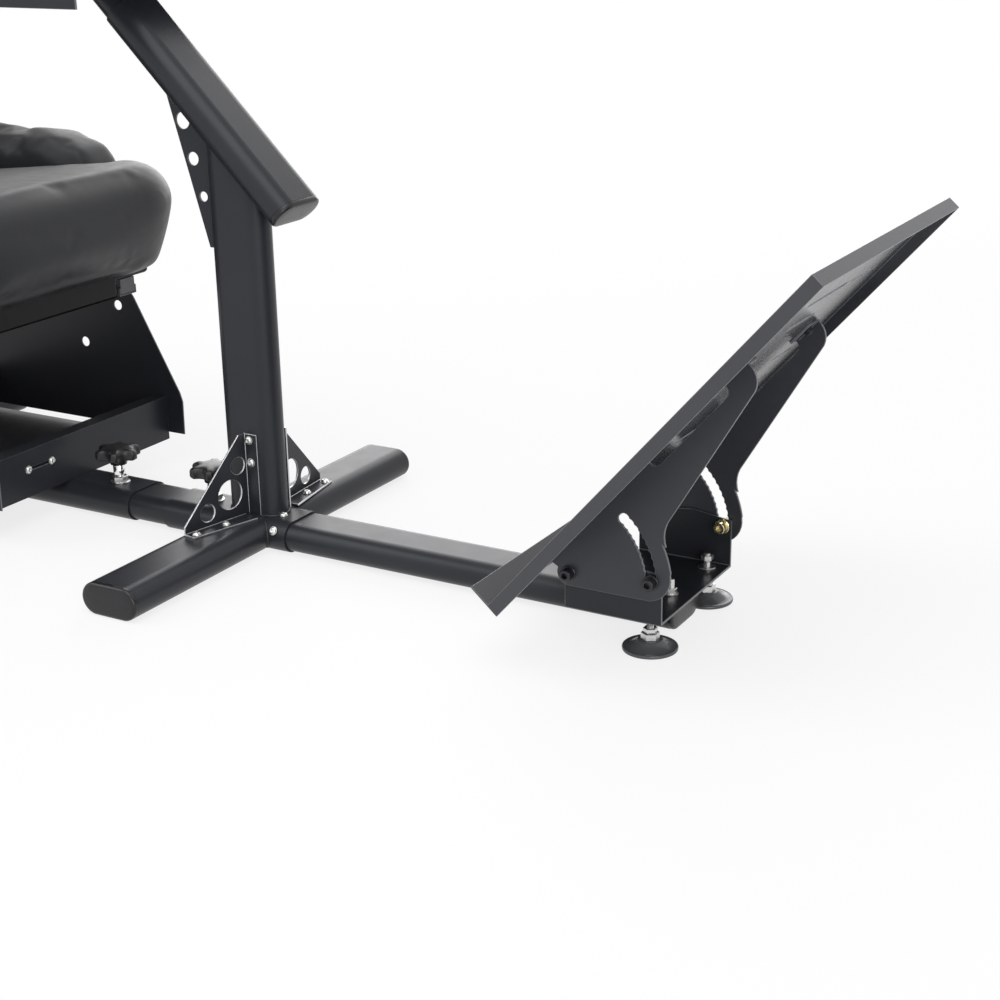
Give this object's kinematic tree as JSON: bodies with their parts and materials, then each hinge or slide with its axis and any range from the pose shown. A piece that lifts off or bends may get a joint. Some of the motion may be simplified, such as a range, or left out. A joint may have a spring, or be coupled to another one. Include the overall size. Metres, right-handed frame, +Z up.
{
  "type": "sim racing cockpit",
  "caption": "Open-frame sim racing cockpit: a tilting pedal deck, a steering column with a wheel deck and a sliding seat, locked by star knobs on one flat-oval main rail.",
  "frame": {"origin": "on the floor under the steering column's middle, on the underside of the column sleeve", "axes": "+X forward to the pedals, +Y to the driver's left, +Z up"},
  "size_m": [1.8687, 0.583, 1.0561],
  "materials": {
    "steel": "satin black powder coat",
    "plastic": "matte",
    "foot_plastic": "matte pads, zinc-plated studs in the final look",
    "black_fastener": "black oxide",
    "zinc": "zinc plated",
    "yellow_zinc": "yellow zinc plated",
    "chrome": "polished",
    "vinyl": "smooth charcoal vinyl"
  },
  "bodies": {
    "rail_unit": {"main_rail": "steel", "rail_cap": "plastic", "pedal_base": "steel", "base_bolts": "zinc", "levelling_foot_right": "foot_plastic", "levelling_foot_left": "foot_plastic", "pivot_bolts": "black_fastener", "slot_bolt_right": "black_fastener", "slot_bolt_left": "yellow_zinc"},
    "pedal_deck": {"pedal_arm_right": "steel", "pedal_arm_left": "steel", "pedal_plate": "steel", "plate_bolts": "black_fastener"},
    "column_unit": {"column_sleeve": "steel", "cross_foot_right": "steel", "cross_foot_left": "steel", "foot_caps": "plastic", "column": "steel", "gusset_right": "steel", "gusset_left": "steel", "gusset_screws": "zinc", "upper_gusset": "steel", "steering_tube": "steel", "steering_tube_cap": "plastic", "steering_inner_tube": "steel", "wheel_deck": "steel", "column_knob_nut": "zinc"},
    "column_knob_unit": {"column_knob_stem": "chrome", "column_knob": "plastic"},
    "seat_unit": {"seat_sleeve": "steel", "seat_sleeve_cap": "plastic", "rear_foot_right": "steel", "rear_foot_left": "steel", "rear_foot_caps": "plastic", "seat_tray": "steel", "tray_bolts": "zinc", "side_plate_right": "steel", "side_plate_left": "steel", "slide_channels": "zinc", "seat_knob_nut": "zinc"},
    "seat_knob_unit": {"seat_knob_stem": "chrome", "seat_knob": "plastic"},
    "seat": {"slide_runners": "zinc", "seat_pan": "vinyl", "seat_cushion": "vinyl", "seat_bolster_right": "vinyl", "seat_bolster_left": "vinyl", "recliner_brackets": "steel", "back_shell": "plastic", "back_cushion": "vinyl", "back_bolster_right": "vinyl", "back_bolster_left": "vinyl", "headrest": "vinyl"}
  },
  "joints": [
    {"name": "column_slide", "type": "slide", "parent": "rail_unit", "child": "column_unit", "axis": [1, 0, 0], "range_m": [-0.02, 0.15]},
    {"name": "seat_unit_slide", "type": "slide", "parent": "rail_unit", "child": "seat_unit", "axis": [1, 0, 0], "range_m": [-0.15, 0.03]},
    {"name": "seat_slide", "type": "slide", "parent": "seat_unit", "child": "seat", "axis": [1, 0, 0], "range_m": [-0.08, 0.06]},
    {"name": "pedal_tilt", "type": "hinge", "parent": "rail_unit", "child": "pedal_deck", "pos_m": [0.496, 0, 0.08035], "axis": [0, 1, 0], "range_deg": [0, 30.8]},
    {"name": "column_knob_turn", "type": "hinge", "parent": "column_unit", "child": "column_knob_unit", "pos_m": [-0.074, 0, 0.08], "axis": [0, 0, 1], "continuous": true},
    {"name": "seat_knob_turn", "type": "hinge", "parent": "seat_unit", "child": "seat_knob_unit", "pos_m": [-0.233, 0, 0.08], "axis": [0, 0, 1], "continuous": true}
  ]
}
